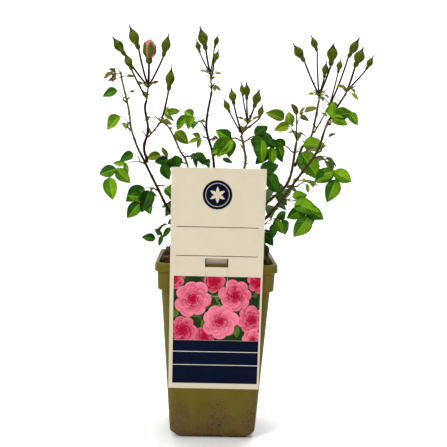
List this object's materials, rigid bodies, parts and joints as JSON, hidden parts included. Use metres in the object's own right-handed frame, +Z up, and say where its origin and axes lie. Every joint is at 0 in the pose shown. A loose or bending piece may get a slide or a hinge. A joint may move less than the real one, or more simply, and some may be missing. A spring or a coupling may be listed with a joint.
{
  "type": "rose bush in a nursery pot",
  "caption": "Young shrub rose in bud in a tall square plastic nursery pot, with thin arching canes, compound leaves and a plain picture card hung on the rim.",
  "frame": {"origin": "centre of the pot's flat underside", "axes": "+Z up the plant, -Y out of the side of the pot that the card hangs on, +X to the right when that side is seen from the front"},
  "size_m": [0.2889, 0.1671, 0.45],
  "materials": {
    "pot_plastic": "satin",
    "compost": "matte",
    "card": "satin",
    "bark": "satin",
    "foliage": "satin",
    "buds": "matte"
  },
  "bodies": {
    "root": {"pot": "pot_plastic", "soil": "compost", "label_card": "card", "stem_base": "bark", "cane_left": "bark", "cane_back_left": "bark", "cane_tall": "bark", "cane_centre": "bark", "cane_right": "bark", "cane_far_right": "bark", "cane_left_outer": "bark", "cane_left_inner": "bark", "cane_right_outer": "bark", "buds_left": "buds", "bud_left_inner": "buds", "shoot_left_tip": "foliage", "leaves_left_upper": "foliage", "leaves_left_outer": "foliage", "leaves_left_hanging": "foliage", "leaves_left_low": "foliage", "leaves_left_front": "foliage", "leaves_left_foot": "foliage", "leaves_left_behind": "foliage", "leaves_back_left_out": "foliage", "leaves_back_left_in": "foliage", "shoot_back_left_tip": "foliage", "shoot_back_left_side": "foliage", "leaves_back_left_low": "foliage", "buds_tall": "buds", "leaves_tall_arch": "foliage", "leaves_tall_mid": "foliage", "leaves_tall_left": "foliage", "leaves_tall_low": "foliage", "leaves_tall_behind": "foliage", "buds_centre": "buds", "leaves_centre_left": "foliage", "leaves_centre_right": "foliage", "leaves_centre_low": "foliage", "shoot_right_tip": "foliage", "leaves_right_in": "foliage", "leaves_right_mid": "foliage", "leaves_right_low": "foliage", "leaves_right_behind": "foliage", "buds_right_inner": "buds", "buds_right_outer": "buds", "buds_far_right": "buds", "leaves_far_right_top": "foliage", "leaves_far_right_side": "foliage", "leaves_far_right_hang": "foliage", "leaves_far_right_mid": "foliage", "leaves_far_right_low": "foliage", "leaves_far_right_in": "foliage", "leaves_far_right_foot": "foliage", "leaves_far_right_base": "foliage"}
  },
  "joints": []
}
